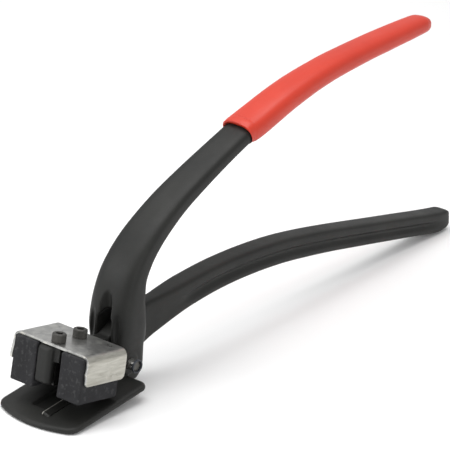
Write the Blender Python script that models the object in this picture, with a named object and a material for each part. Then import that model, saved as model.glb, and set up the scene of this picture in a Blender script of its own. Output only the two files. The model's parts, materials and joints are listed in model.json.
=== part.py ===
"""Steel strapping cutter with rubber strap hold-down pads.

World frame: +X runs from the jaw to the handle ends, +Z is up, z = 0 is the bench and the
origin is under the middle of the tool. The parts are drawn with the jaw pivot on the line
(0, *, PIVOT_Z) along Y and moved by PIVOT_X at the end. Lengths are in metres. The jaw is
open: the foot body leans FOOT_LEAN nose-down and the nose body leans NOSE_LEAN nose-up.
"""
import math

import bmesh
import bpy
from mathutils import Matrix, Vector

MM = 0.001
PIVOT_X = -190.85 * MM
PIVOT_Z = 26.8 * MM
FOOT_LEAN = math.radians(-6.5)
NOSE_LEAN = math.radians(10.0)

# foot plate, in the foot's own frame (pivot at the origin, plate level)
FOOT_TOP = -10.1 * MM
FOOT_BOTTOM = -16.8 * MM
FOOT_HALF_WIDTH = 45.8 * MM
FOOT_FRONT = -106.0 * MM
FOOT_BULGE = 7.8 * MM
FOOT_BACK = -2.7 * MM
FOOT_FRONT_RADIUS = 12.0 * MM
FOOT_BACK_RADIUS = 9.0 * MM

# fork of the upper handle
SLOT_HALF = 8.5 * MM
SLOT_TOP = 74.0 * MM
SLOT_MOUTH = -11.0 * MM
SLOT_CLIMB = 0.2
BOSS_HALF = 21.2 * MM
BOSS_RADIUS = 10.6 * MM

# nose and hold-down bracket, in the nose's own frame (pivot at the origin, bracket level)
LUG_HALF = 7.1 * MM
LUG_RADIUS = 13.0 * MM
RAIL_TOP = 23.3 * MM
RAIL_BOTTOM = 9.0 * MM
BRACKET_FRONT = -85.0 * MM
BRACKET_BACK = -34.4 * MM
BRACKET_TOP = 26.1 * MM
BRACKET_HALF = 44.4 * MM
BRACKET_SHEET = 2.5 * MM
BRACKET_BEND = 7.2 * MM
BRACKET_DROP = 27.0 * MM
SCREW_X = (-76.3 * MM, -48.7 * MM)

# rubber pads
PAD_FRONT = -88.2 * MM
PAD_BACK = -37.5 * MM
PAD_INNER = 14.5 * MM
PAD_OUTER = 41.0 * MM
PAD_BOTTOM = -18.6 * MM

# blades; the shear plane is the vertical plane y = SHEAR_Y
SHEAR_Y = -3.0 * MM
BLADE_THICK = 7.5 * MM
WEB_FAR = 14.1 * MM
WEB_NEAR = -2.5 * MM
WEB_FRONT = -87.2 * MM
WEB_BOTTOM = -12.0 * MM
BLADE_FRONT = -79.5 * MM
BLADE_BACK = -40.0 * MM
BLADE_EDGE = -13.0 * MM
BLADE_SCREW_X = (-70.0 * MM, -52.0 * MM)
LOWER_BLADE_FRONT = -97.0 * MM
LOWER_BLADE_BACK = -40.0 * MM
LOWER_BLADE_WIDTH = 8.0 * MM
LOWER_BLADE_LIP = 1.2 * MM
RELIEF_DEPTH = 2.4 * MM
POCKET_DEPTH = 3.4 * MM
LOWER_SCREW_X = (-84.0 * MM, -54.0 * MM)

GAP = 0.3 * MM

# stations of the upper handle: x, z, width along Y, thickness across the bar (mm)
UPPER_STATIONS = (
    (3.6, 9.5, 38.0, 26.0),
    (6.2, 18.0, 40.2, 37.2),
    (6.6, 29.0, 40.6, 39.2),
    (6.6, 38.0, 41.4, 39.6),
    (6.6, 49.0, 46.4, 39.8),
    (6.4, 62.0, 48.8, 38.0),
    (8.4, 84.0, 47.0, 32.2),
    (15.7, 105.8, 43.4, 26.2),
    (35.3, 128.3, 40.0, 22.4),
    (68.5, 150.7, 36.4, 19.2),
    (104.1, 167.5, 33.9, 17.4),
    (149.6, 185.7, 31.4, 15.8),
    (183.0, 197.2, 30.4, 15.6),
    (235.0, 211.8, 28.8, 15.2),
    (286.0, 220.9, 26.6, 14.6),
    (340.0, 225.5, 24.6, 14.0),
    (390.0, 227.6, 22.6, 13.2),
    (430.0, 228.6, 19.2, 12.0),
)

# stations of the lower handle bar: x, z, width along Y, depth of the bar, groove depth (mm)
LOWER_STATIONS = (
    (4.0, 33.0, 13.4, 20.0, 0.0),
    (22.0, 43.0, 13.8, 34.0, 0.0),
    (40.0, 50.0, 14.0, 36.0, 0.0),
    (60.0, 54.4, 17.6, 32.2, 0.0),
    (80.0, 58.3, 21.0, 28.6, 0.3),
    (98.0, 60.7, 22.0, 27.0, 2.4),
    (130.0, 63.1, 22.2, 25.9, 3.2),
    (163.0, 63.4, 22.3, 25.1, 3.2),
    (198.0, 61.8, 22.5, 24.6, 3.2),
    (232.0, 58.5, 22.5, 24.2, 3.2),
    (268.0, 53.0, 22.5, 23.7, 3.2),
    (304.0, 46.5, 22.3, 23.0, 3.2),
    (342.0, 38.8, 22.1, 22.5, 3.2),
    (380.0, 31.0, 22.0, 22.0, 3.2),
    (418.0, 23.2, 21.9, 21.7, 3.2),
    (452.0, 16.1, 21.8, 21.4, 2.8),
    (474.0, 11.9, 21.6, 21.2, 0.6),
    (486.5, 11.2, 19.6, 19.0, 0.0),
    (492.5, 11.4, 16.4, 15.4, 0.0),
)

# stations of the vinyl grip's outside: x, z, width along Y, thickness (mm)
GRIP_STATIONS = (
    (168.0, 194.4, 34.2, 22.0),
    (172.4, 195.6, 35.2, 22.8),
    (183.2, 197.6, 36.8, 23.4),
    (235.0, 211.8, 34.7, 22.3),
    (286.0, 220.9, 31.8, 20.6),
    (340.0, 225.4, 29.8, 19.5),
    (390.0, 227.5, 27.8, 18.6),
    (430.0, 228.6, 24.8, 17.2),
    (439.0, 228.2, 22.6, 15.8),
    (444.6, 228.0, 18.4, 12.8),
    (447.6, 228.2, 11.6, 8.2),
)


def clear_scene():
    for ob in list(bpy.data.objects):
        bpy.data.objects.remove(ob, do_unlink=True)


def material(name, colour, metallic, roughness):
    mat = bpy.data.materials.new(name)
    mat.use_nodes = True
    shader = mat.node_tree.nodes["Principled BSDF"]
    shader.inputs["Base Color"].default_value = (*colour, 1.0)
    shader.inputs["Metallic"].default_value = metallic
    shader.inputs["Roughness"].default_value = roughness
    mat.diffuse_color = (*colour, 1.0)
    return mat


def finish(name, bm, mat=None, smooth=False):
    """Turn a bmesh into a named object."""
    bmesh.ops.recalc_face_normals(bm, faces=bm.faces)
    mesh = bpy.data.meshes.new(name)
    bm.to_mesh(mesh)
    bm.free()
    if smooth:
        for poly in mesh.polygons:
            poly.use_smooth = True
    if mat is not None:
        mesh.materials.append(mat)
    ob = bpy.data.objects.new(name, mesh)
    bpy.context.scene.collection.objects.link(ob)
    return ob


def skin(rings, closed_ends=True):
    """Bmesh through equal rings of points."""
    bm = bmesh.new()
    loops = [[bm.verts.new(p) for p in ring] for ring in rings]
    count = len(loops[0])
    for first, second in zip(loops, loops[1:]):
        for i in range(count):
            j = (i + 1) % count
            bm.faces.new((first[i], first[j], second[j], second[i]))
    if closed_ends:
        bm.faces.new(loops[0])
        bm.faces.new(loops[-1])
    return bm


def prism_y(outline, y0, y1):
    """Prism with an (x, z) outline between two y planes."""
    return skin([[(x, y, z) for x, z in outline] for y in (y0, y1)])


def prism_x(outline, x0, x1):
    """Prism with a (y, z) outline between two x planes."""
    return skin([[(x, y, z) for y, z in outline] for x in (x0, x1)])


def block(x0, x1, y0, y1, z0, z1):
    return prism_y([(x0, z0), (x1, z0), (x1, z1), (x0, z1)], y0, y1)


def arc(cx, cy, radius, start, stop, steps):
    """Points on an arc, angles in degrees."""
    points = []
    for i in range(steps + 1):
        a = math.radians(start + (stop - start) * i / steps)
        points.append((cx + radius * math.cos(a), cy + radius * math.sin(a)))
    return points


def turned(profile, centre, axis, segments=32):
    """Solid of revolution: profile of (distance along axis, radius), ends on the axis."""
    axis = Vector(axis).normalized()
    side = axis.orthogonal().normalized()
    other = axis.cross(side)
    bm = bmesh.new()
    rings = []
    for along, radius in profile:
        base = Vector(centre) + axis * along
        if radius == 0:
            rings.append([bm.verts.new(base)])
            continue
        ring = []
        for i in range(segments):
            a = 2 * math.pi * i / segments
            ring.append(bm.verts.new(base + (side * math.cos(a) + other * math.sin(a)) * radius))
        rings.append(ring)
    for first, second in zip(rings, rings[1:]):
        for i in range(segments):
            j = (i + 1) % segments
            if len(first) == 1:
                bm.faces.new((first[0], second[j], second[i]))
            elif len(second) == 1:
                bm.faces.new((first[i], first[j], second[0]))
            else:
                bm.faces.new((first[i], first[j], second[j], second[i]))
    return bm


def cylinder(radius, start, stop, centre, axis, segments=32):
    return turned([(start, 0), (start, radius), (stop, radius), (stop, 0)], centre, axis, segments)


def ring_solid(profile, centre, axis, segments=32):
    """Solid of revolution with a hole: closed profile of (along, radius)."""
    axis = Vector(axis).normalized()
    side = axis.orthogonal().normalized()
    other = axis.cross(side)
    rings = []
    for i in range(segments):
        a = 2 * math.pi * i / segments
        spoke = side * math.cos(a) + other * math.sin(a)
        rings.append([Vector(centre) + axis * along + spoke * radius for along, radius in profile])
    bm = skin(rings, closed_ends=False)
    bm.verts.ensure_lookup_table()
    count = len(profile)
    last = (segments - 1) * count
    for i in range(count):
        j = (i + 1) % count
        bm.faces.new((bm.verts[last + i], bm.verts[last + j], bm.verts[j], bm.verts[i]))
    return bm


def hexagon(across_flats, start, stop, centre, axis):
    radius = across_flats / math.sqrt(3)
    return cylinder(radius, start, stop, centre, axis, segments=6)


def boolean(target, bm, operation):
    """Apply a bmesh as a cutter or an addition, then drop it."""
    tool = finish("tool", bm)
    mod = target.modifiers.new("op", "BOOLEAN")
    mod.operation = operation
    mod.solver = "EXACT"
    mod.object = tool
    graph = bpy.context.evaluated_depsgraph_get()
    mesh = bpy.data.meshes.new_from_object(target.evaluated_get(graph))
    target.modifiers.clear()
    target.data = mesh
    bpy.data.objects.remove(tool, do_unlink=True)


def cut(target, bm):
    boolean(target, bm, "DIFFERENCE")


def add(target, bm):
    boolean(target, bm, "UNION")


def lean(angle):
    """Matrix from a body's own frame to the world: lean about the pivot (positive = nose up)."""
    return Matrix.Translation((0, 0, PIVOT_Z)) @ Matrix.Rotation(angle, 4, "Y")


FOOT = lean(FOOT_LEAN)
NOSE = lean(NOSE_LEAN)


def placed(bm, frame):
    bmesh.ops.transform(bm, matrix=frame, verts=bm.verts)
    return bm


def clean(ob, mat):
    """Merge stray points left by the boolean and give the object its one material."""
    bm = bmesh.new()
    bm.from_mesh(ob.data)
    bmesh.ops.remove_doubles(bm, verts=bm.verts, dist=0.00001)
    bmesh.ops.dissolve_degenerate(bm, edges=bm.edges, dist=0.00001)
    bmesh.ops.recalc_face_normals(bm, faces=bm.faces)
    bm.to_mesh(ob.data)
    bm.free()
    ob.data.materials.clear()
    ob.data.materials.append(mat)


def spline(stations, steps):
    """Catmull-Rom through the stations, end points kept."""
    points = []
    last = len(stations) - 1
    for i in range(last):
        p0 = stations[max(i - 1, 0)]
        p1 = stations[i]
        p2 = stations[i + 1]
        p3 = stations[min(i + 2, last)]
        for k in range(steps):
            t = k / steps
            row = []
            for a, b, c, d in zip(p0, p1, p2, p3):
                row.append(0.5 * (2 * b + (c - a) * t + (2 * a - 5 * b + 4 * c - d) * t * t
                                  + (3 * b - a - 3 * c + d) * t ** 3))
            points.append(row)
    points.append(list(stations[-1]))
    return [[value * MM for value in row] for row in points]


def rings_along(rows, section):
    """Rings of a bar that follows the rows (x, z, ...) in the XZ plane."""
    rings = []
    for i, row in enumerate(rows):
        before = rows[max(i - 1, 0)]
        after = rows[min(i + 1, len(rows) - 1)]
        direction = Vector((after[0] - before[0], 0, after[1] - before[1])).normalized()
        across = Vector((-direction.z, 0, direction.x))
        centre = Vector((row[0], 0, row[1]))
        rings.append([centre + Vector((0, a, 0)) + across * b for a, b in section(row)])
    return rings


def oval(width, thick, power=3.0, count=24):
    """Rounded-rectangle outline."""
    points = []
    for i in range(count):
        a = 2 * math.pi * (i + 0.5) / count
        c = math.cos(a)
        s = math.sin(a)
        points.append((math.copysign(abs(c) ** (2 / power), c) * width / 2,
                       math.copysign(abs(s) ** (2 / power), s) * thick / 2))
    return points


def grooved(row):
    """Bar section with a long groove down each side."""
    half = row[2] / 2
    deep = row[3] / 2
    groove = row[4]
    edge = 2.2 * MM
    side = [
        (half - edge, deep),
        (half - 0.3 * edge, deep - 0.3 * edge),
        (half, deep - edge),
        (half, 0.22 * deep),
        (half - groove, 0.06 * deep),
        (half - groove, -0.16 * deep),
        (half - 0.35 * groove, -0.42 * deep),
        (half, -deep + edge),
        (half - 0.3 * edge, -deep + 0.3 * edge),
        (half - edge, -deep),
    ]
    return side + [(-a, b) for a, b in reversed(side)]


def foot_outline(inset):
    """Plan of the foot plate, (x, y), convex front edge."""
    half = FOOT_HALF_WIDTH - inset
    front = FOOT_FRONT + inset
    back = FOOT_BACK - inset
    rf = FOOT_FRONT_RADIUS - inset
    rb = FOOT_BACK_RADIUS - inset
    points = arc(back - rb, -half + rb, rb, 0, -90, 6)
    points += arc(front + rf, -half + rf, rf, -90, -165, 8)
    span = half - 0.74 * rf
    for i in range(1, 16):
        y = -span + 2 * span * i / 16
        points.append((front + 0.03 * rf - FOOT_BULGE * (1 - (y / span) ** 2), y))
    points += arc(front + rf, half - rf, rf, 165, 90, 8)
    points += arc(back - rb, half - rb, rb, 90, 0, 6)
    return points


def foot_plate():
    """Foot plate with a thinned front lip; its front underside is cut flat to the bench."""
    levels = (
        (FOOT_BOTTOM, 4.6 * MM),
        (FOOT_BOTTOM + 2.0 * MM, 0.4 * MM),
        (FOOT_TOP - 2.4 * MM, 0.0),
        (FOOT_TOP - 0.9 * MM, 0.8 * MM),
        (FOOT_TOP, 3.0 * MM),
    )
    bm = skin([[(x, y, z) for x, y in foot_outline(inset)] for z, inset in levels])
    ob = finish("upper_handle_with_foot", placed(bm, FOOT))
    cut(ob, block(-0.15, 0.05, -0.07, 0.07, -0.02, 0.0))
    return ob


def slot_tunnel():
    """Arched slot through the fork; its roof climbs to the back, where the lower bar swings up."""
    rings = []
    for x in (-45 * MM, 45 * MM):
        crown = SLOT_TOP + SLOT_CLIMB * (x - SLOT_MOUTH) - SLOT_HALF
        arch = [(-SLOT_HALF, 15.5 * MM), (SLOT_HALF, 15.5 * MM)]
        arch += arc(0, crown, SLOT_HALF, 0, 180, 10)
        rings.append([(x, y, z) for y, z in arch])
    return skin(rings)


def upper_handle(mat):
    """Forged upper handle: bar, fork, pivot bosses and the foot in one piece."""
    rows = spline(UPPER_STATIONS, 3)
    bar = skin(rings_along(rows, lambda row: oval(row[2], row[3], 3.4)))
    ob = foot_plate()
    gusset = [(-33.0 * MM, FOOT_TOP - 3 * MM), (7 * MM, FOOT_TOP - 3 * MM), (7 * MM, 8 * MM),
              (-10 * MM, 6 * MM), (-20 * MM, -3 * MM), (-33.0 * MM, FOOT_TOP + 0.5 * MM)]
    add(ob, placed(prism_y(gusset, -BOSS_HALF + 2.1 * MM, BOSS_HALF - 2.1 * MM), FOOT))
    add(ob, cylinder(BOSS_RADIUS, -BOSS_HALF, BOSS_HALF, (0, 0, PIVOT_Z), (0, 1, 0), 40))
    add(ob, bar)
    cut(ob, slot_tunnel())
    cut(ob, block(-17.5 * MM, 45 * MM, -SLOT_HALF, SLOT_HALF, -5 * MM, 16 * MM))
    hollow = bmesh.new()
    bmesh.ops.create_uvsphere(hollow, u_segments=20, v_segments=14, radius=1.0)
    bmesh.ops.scale(hollow, vec=(6 * MM, 6.6 * MM, 26 * MM), verts=hollow.verts)
    bmesh.ops.translate(hollow, vec=(-9.5 * MM, 0, 76 * MM), verts=hollow.verts)
    cut(ob, hollow)
    y0 = SHEAR_Y - 0.1 * MM
    cut(ob, placed(block(LOWER_BLADE_FRONT - GAP, LOWER_BLADE_BACK + GAP,
                         y0 - LOWER_BLADE_WIDTH - GAP, y0 + GAP,
                         FOOT_TOP - POCKET_DEPTH - GAP, FOOT_TOP + 5 * MM), FOOT))
    cut(ob, placed(block(WEB_FRONT - 2.5 * MM, BLADE_BACK + 4 * MM, y0, WEB_FAR + 1.2 * MM,
                         FOOT_TOP - RELIEF_DEPTH, FOOT_TOP + 5 * MM), FOOT))
    for x in LOWER_SCREW_X:
        centre = (x, y0 - LOWER_BLADE_WIDTH / 2, FOOT_BOTTOM)
        well = [(-2 * MM, 0), (-2 * MM, 4.4 * MM), (0.5 * MM, 4.4 * MM), (2.3 * MM, 2.4 * MM),
                (7 * MM, 2.4 * MM), (7 * MM, 0)]
        cut(ob, placed(turned(well, centre, (0, 0, 1), 24), FOOT))
    cut(ob, cylinder(5.35 * MM, -30 * MM, 30 * MM, (0, 0, PIVOT_Z), (0, 1, 0), 30))
    clean(ob, mat)
    return ob


def lower_handle(mat):
    """Forged lower handle: grooved bar, pivot lug and the nose that carries the bracket."""
    rows = spline(LOWER_STATIONS, 2)
    ob = finish("lower_handle_with_nose", skin(rings_along(rows, grooved)))

    def nose(x, z):
        p = NOSE @ Vector((x * MM, 0, z * MM))
        return (p.x, p.z)

    outline = [nose(-40, 10.5), nose(-40, 22.7), nose(-17, 22.7), (-7 * MM, 55 * MM), (4 * MM, 60 * MM),
               (24 * MM, 50 * MM), (24 * MM, 36 * MM)]
    outline += [(x, z + PIVOT_Z) for x, z in arc(0, 0, LUG_RADIUS, -20, -150, 12)]
    outline += [nose(-19, -4), nose(-28, 4)]
    add(ob, prism_y(outline, -LUG_HALF, LUG_HALF))
    y_near = -8.0 * MM
    rail = block(-82 * MM, -30 * MM, y_near, WEB_FAR - 0.4 * MM, RAIL_BOTTOM, RAIL_TOP)
    add(ob, placed(rail, NOSE))
    y_web = SHEAR_Y + BLADE_THICK + GAP
    web_plan = [(BLADE_BACK, y_web), (BLADE_BACK, WEB_FAR)]
    web_plan += arc(WEB_FRONT + 2.0 * MM, WEB_FAR - 2.0 * MM, 2.0 * MM, 90, 180, 3)
    web_plan += arc(WEB_FRONT + 5.0 * MM, WEB_NEAR + 5.0 * MM, 5.0 * MM, 180, 270, 6)
    web_plan += [(BLADE_FRONT - GAP, WEB_NEAR), (BLADE_FRONT - GAP, y_web)]
    web = skin([[(x, y, z) for x, y in web_plan] for z in (WEB_BOTTOM, 22.6 * MM)])
    add(ob, placed(web, NOSE))
    cut(ob, cylinder(7.3 * MM, -20 * MM, 20 * MM, (0, 0, PIVOT_Z), (0, 1, 0), 32))
    cut(ob, block(0.4, 0.55, -0.03, 0.03, -0.02, 0.0))
    for x in SCREW_X:
        cut(ob, placed(cylinder(4.3 * MM, 10.6 * MM, 40 * MM, (x, 0, 0), (0, 0, 1), 24), NOSE))
    for x in BLADE_SCREW_X:
        well = [(-10 * MM, 0), (-10 * MM, 3.3 * MM), (8.7 * MM, 3.3 * MM), (8.7 * MM, 5.3 * MM),
                (20 * MM, 5.3 * MM), (20 * MM, 0)]
        cut(ob, placed(turned(well, (x, 0, -1.0 * MM), (0, 1, 0), 24), NOSE))
    clean(ob, mat)
    return ob


def grip(mat):
    """Dipped vinyl sleeve, open at the jaw end and closed over the handle's tip."""
    outer = skin(rings_along(spline(GRIP_STATIONS, 3), lambda row: oval(row[2], row[3], 2.6)))
    ob = finish("grip_sleeve", outer)
    bore = spline([(row[0], row[1], row[2] + 0.6, row[3] + 0.6) for row in UPPER_STATIONS[10:]], 3)
    x, z, width, thick = bore[-1]
    bore.append((x + 0.4 * MM, z, width, thick))
    cut(ob, skin(rings_along(bore, lambda row: oval(row[2], row[3], 3.4))))
    clean(ob, mat)
    for poly in ob.data.polygons:
        poly.use_smooth = True
    return ob


def bracket(mat):
    """Zinc-plated sheet channel that straddles the nose and holds the pads."""
    def channel(offset):
        half = BRACKET_HALF - offset
        top = BRACKET_TOP - offset
        bend = BRACKET_BEND - offset
        left = arc(-half + bend, top - bend, bend, 180, 90, 7)
        right = arc(half - bend, top - bend, bend, 90, 0, 7)
        return left + right

    bottom = BRACKET_TOP - BRACKET_DROP
    outer = [(-BRACKET_HALF, bottom)] + channel(0) + [(BRACKET_HALF, bottom)]
    inner = [(-BRACKET_HALF + BRACKET_SHEET, bottom)] + channel(BRACKET_SHEET)
    inner += [(BRACKET_HALF - BRACKET_SHEET, bottom)]
    bm = prism_x(outer + inner[::-1], BRACKET_FRONT, BRACKET_BACK)
    ob = finish("pad_bracket", placed(bm, NOSE))
    for x, start, radius in ((BRACKET_BACK, 0, 4.5 * MM), (BRACKET_FRONT, 180, 2.0 * MM)):
        toward = -1 if start == 0 else 1
        curve = arc(x + toward * radius, bottom + radius, radius, start, start - toward * -90, 5)
        far = x - toward * 3 * MM
        corner = [(far, bottom - 3 * MM), (far, bottom + radius)] + curve
        corner.append((x + toward * radius, bottom - 3 * MM))
        cut(ob, placed(prism_y(corner, -60 * MM, 60 * MM), NOSE))
    for x in SCREW_X:
        cut(ob, placed(cylinder(4.4 * MM, 15 * MM, 40 * MM, (x, 0, 0), (0, 0, 1), 24), NOSE))
    clean(ob, mat)
    return ob


def pad(name, side, mat):
    """Rubber block; its upper outer edge is rounded to sit in the bracket's bend."""
    inner = side * PAD_INNER
    outer = side * PAD_OUTER
    top = BRACKET_TOP - BRACKET_SHEET - GAP
    bend = 4.6 * MM
    outline = [(inner, PAD_BOTTOM), (outer - side * 1.5 * MM, PAD_BOTTOM), (outer, PAD_BOTTOM + 1.5 * MM)]
    outline += [(outer - side * bend + side * bend * math.cos(a), top - bend + bend * math.sin(a))
                for a in (math.radians(15 * i) for i in range(7))]
    outline.append((inner, top))
    bm = prism_x(outline, PAD_FRONT, PAD_BACK)
    ob = finish(name, placed(bm, NOSE))
    clean(ob, mat)
    return ob


def upper_blade(mat):
    """Bolt-on tool-steel blade; its near face is the shear plane."""
    y1 = SHEAR_Y + BLADE_THICK
    section = [(SHEAR_Y, BLADE_EDGE), (SHEAR_Y, RAIL_BOTTOM - GAP), (y1, RAIL_BOTTOM - GAP),
               (y1, BLADE_EDGE + 1.2 * MM)]
    ob = finish("upper_blade", placed(prism_x(section, BLADE_FRONT, BLADE_BACK), NOSE))
    for x in BLADE_SCREW_X:
        cut(ob, placed(cylinder(3.2 * MM, -1.2 * MM, 30 * MM, (x, 0, -1.0 * MM), (0, 1, 0), 24), NOSE))
    clean(ob, mat)
    return ob


def lower_blade(mat):
    """Tool-steel insert let into the foot, with a raised shear lip."""
    y0 = SHEAR_Y - 0.1 * MM
    y1 = y0 - LOWER_BLADE_WIDTH
    lip = FOOT_TOP + LOWER_BLADE_LIP
    section = [(y0, FOOT_TOP - POCKET_DEPTH), (y0, lip), (y0 - 1.6 * MM, lip),
               (y0 - 2.6 * MM, FOOT_TOP), (y1, FOOT_TOP), (y1, FOOT_TOP - POCKET_DEPTH)]
    ob = finish("lower_blade", placed(prism_x(section, LOWER_BLADE_FRONT, LOWER_BLADE_BACK), FOOT))
    for x in LOWER_SCREW_X:
        centre = (x, y0 - LOWER_BLADE_WIDTH / 2, FOOT_BOTTOM)
        cut(ob, placed(cylinder(2.3 * MM, 0, 5.9 * MM, centre, (0, 0, 1), 24), FOOT))
    clean(ob, mat)
    return ob


def cap_screw(name, x, mat):
    """M8 socket-head cap screw through the bracket into the nose."""
    seat = BRACKET_TOP + 0.1 * MM
    profile = [(11.2 * MM, 0), (11.2 * MM, 3.4 * MM), (12 * MM, 4 * MM), (seat, 4 * MM),
               (seat, 6.5 * MM), (seat + 7.4 * MM, 6.5 * MM), (seat + 8 * MM, 5.9 * MM),
               (seat + 8 * MM, 0)]
    ob = finish(name, placed(turned(profile, (x, 0, 0), (0, 0, 1), 32), NOSE))
    cut(ob, placed(hexagon(6 * MM, seat + 3.6 * MM, seat + 12 * MM, (x, 0, 0), (0, 0, 1)), NOSE))
    clean(ob, mat)
    return ob


def blade_screw(name, x, mat):
    """M6 cap screw through the nose web into the upper blade."""
    profile = [(-0.8 * MM, 0), (-0.8 * MM, 3 * MM), (9 * MM, 3 * MM), (9 * MM, 5 * MM),
               (13.0 * MM, 5 * MM), (13.0 * MM, 0)]
    centre = (x, 0, -1.0 * MM)
    ob = finish(name, placed(turned(profile, centre, (0, 1, 0), 28), NOSE))
    cut(ob, placed(hexagon(4 * MM, 11 * MM, 16 * MM, centre, (0, 1, 0)), NOSE))
    clean(ob, mat)
    return ob


def insert_screw(name, x, mat):
    """M4 countersunk screw from under the foot into the lower blade."""
    y0 = SHEAR_Y - 0.1 * MM
    centre = (x, y0 - LOWER_BLADE_WIDTH / 2, FOOT_BOTTOM)
    profile = [(0.2 * MM, 0), (0.2 * MM, 3.9 * MM), (0.6 * MM, 3.9 * MM), (2.4 * MM, 2 * MM),
               (5.6 * MM, 2 * MM), (5.6 * MM, 0)]
    ob = finish(name, placed(turned(profile, centre, (0, 0, 1), 24), FOOT))
    cut(ob, placed(hexagon(2.5 * MM, -1 * MM, 1.7 * MM, centre, (0, 0, 1)), FOOT))
    clean(ob, mat)
    return ob


def pivot_parts(zinc, oxide, bronze, nylon):
    """Pivot bolt, nut, nylon ring, bushing and washers, all along Y through the pivot."""
    centre = (0, 0, PIVOT_Z)
    y_axis = (0, 1, 0)
    head = BOSS_HALF + 2.1 * MM
    bolt = [(-28.6 * MM, 0), (-28.6 * MM, 4.3 * MM), (-27.8 * MM, 5 * MM), (head, 5 * MM), (head, 0)]
    ob = finish("pivot_bolt", turned(bolt, centre, y_axis, 32))
    add(ob, hexagon(16 * MM, head - 0.001 * MM, head + 6.2 * MM, centre, y_axis))
    clean(ob, oxide)

    nut = hexagon(16 * MM, -BOSS_HALF - 7.4 * MM, -BOSS_HALF - 0.1 * MM, centre, y_axis)
    ob = finish("pivot_nut", nut)
    collar = [(-BOSS_HALF - 9.9 * MM, 0), (-BOSS_HALF - 9.9 * MM, 6.9 * MM),
              (-BOSS_HALF - 9.2 * MM, 7.6 * MM), (-BOSS_HALF - 7 * MM, 7.6 * MM), (-BOSS_HALF - 7 * MM, 0)]
    add(ob, turned(collar, centre, y_axis, 32))
    groove = (-BOSS_HALF - 9.5 * MM, -BOSS_HALF - 7.2 * MM)
    bore = [(-40 * MM, 0), (-40 * MM, 5.25 * MM), (groove[0], 5.25 * MM), (groove[0], 6.5 * MM),
            (groove[1], 6.5 * MM), (groove[1], 5.25 * MM), (0, 5.25 * MM), (0, 0)]
    cut(ob, turned(bore, centre, y_axis, 30))
    clean(ob, zinc)

    ring = [(-BOSS_HALF - 9.3 * MM, 5.2 * MM), (-BOSS_HALF - 9.3 * MM, 6.3 * MM),
            (-BOSS_HALF - 7.4 * MM, 6.3 * MM), (-BOSS_HALF - 7.4 * MM, 5.2 * MM)]
    clean(finish("nut_nylon_ring", ring_solid(ring, centre, y_axis, 32)), nylon)

    sleeve = [(-LUG_HALF, 5.2 * MM), (-LUG_HALF, 7.0 * MM), (LUG_HALF, 7.0 * MM), (LUG_HALF, 5.2 * MM)]
    clean(finish("pivot_bushing", ring_solid(sleeve, centre, y_axis, 32)), bronze)

    for name, side in (("thrust_washer_near", -1), ("thrust_washer_far", 1)):
        a = side * (LUG_HALF + 0.2 * MM)
        b = side * (SLOT_HALF - 0.2 * MM)
        flat = [(a, 5.3 * MM), (a, 11 * MM), (b, 11 * MM), (b, 5.3 * MM)]
        clean(finish(name, ring_solid(flat, centre, y_axis, 32)), bronze)

    a = BOSS_HALF + 0.1 * MM
    b = BOSS_HALF + 2.0 * MM
    flat = [(a, 5.3 * MM), (a, 10 * MM), (b, 10 * MM), (b, 5.3 * MM)]
    clean(finish("bolt_washer", ring_solid(flat, centre, y_axis, 32)), zinc)


def seat_on_pivot():
    """Shift everything to the part's origin; each object's own origin sits on the pivot line."""
    for ob in bpy.data.objects:
        ob.data.transform(Matrix.Translation((0, 0, -PIVOT_Z)))
        ob.location = (PIVOT_X, 0, PIVOT_Z)


def main():
    clear_scene()
    forged = material("black_forged_steel", (0.028, 0.029, 0.028), 0.55, 0.55)
    plated = material("zinc_sheet", (0.56, 0.54, 0.47), 0.9, 0.38)
    zinc = material("zinc_fastener", (0.62, 0.61, 0.58), 0.95, 0.3)
    oxide = material("black_oxide_fastener", (0.03, 0.03, 0.03), 0.8, 0.45)
    tool = material("tool_steel", (0.2, 0.2, 0.2), 0.9, 0.4)
    rubber = material("black_rubber", (0.022, 0.022, 0.026), 0.0, 0.85)
    vinyl = material("red_vinyl", (0.62, 0.045, 0.025), 0.0, 0.42)
    bronze = material("bronze", (0.45, 0.3, 0.14), 0.9, 0.4)
    nylon = material("nylon_ring", (0.06, 0.07, 0.09), 0.0, 0.5)

    upper_handle(forged)
    lower_handle(forged)
    grip(vinyl)
    bracket(plated)
    pad("pad_near", -1, rubber)
    pad("pad_far", 1, rubber)
    upper_blade(tool)
    lower_blade(tool)
    for index, x in enumerate(SCREW_X, 1):
        cap_screw(f"bracket_screw_{index}", x, oxide)
    for index, x in enumerate(BLADE_SCREW_X, 1):
        blade_screw(f"upper_blade_screw_{index}", x, oxide)
    for index, x in enumerate(LOWER_SCREW_X, 1):
        insert_screw(f"lower_blade_screw_{index}", x, oxide)
    pivot_parts(zinc, oxide, bronze, nylon)
    seat_on_pivot()


main()
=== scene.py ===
"""Look of the steel strapping cutter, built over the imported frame.

The forgings are high-resolution bars and blocks joined into one skin, the sheet bracket, pads,
grip and fasteners are modelled pieces, and the small hidden parts keep their CAD shape.
"""
import json
import math

import bmesh
import bpy
from mathutils import Matrix, Vector, noise


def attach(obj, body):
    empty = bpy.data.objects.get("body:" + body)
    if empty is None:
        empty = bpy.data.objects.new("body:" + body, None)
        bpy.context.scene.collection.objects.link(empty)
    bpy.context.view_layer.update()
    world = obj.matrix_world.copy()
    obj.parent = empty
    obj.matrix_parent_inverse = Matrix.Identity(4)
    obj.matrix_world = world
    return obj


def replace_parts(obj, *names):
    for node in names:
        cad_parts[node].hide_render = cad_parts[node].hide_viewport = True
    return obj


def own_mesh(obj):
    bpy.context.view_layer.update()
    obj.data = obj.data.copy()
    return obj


MM = 0.001

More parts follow.
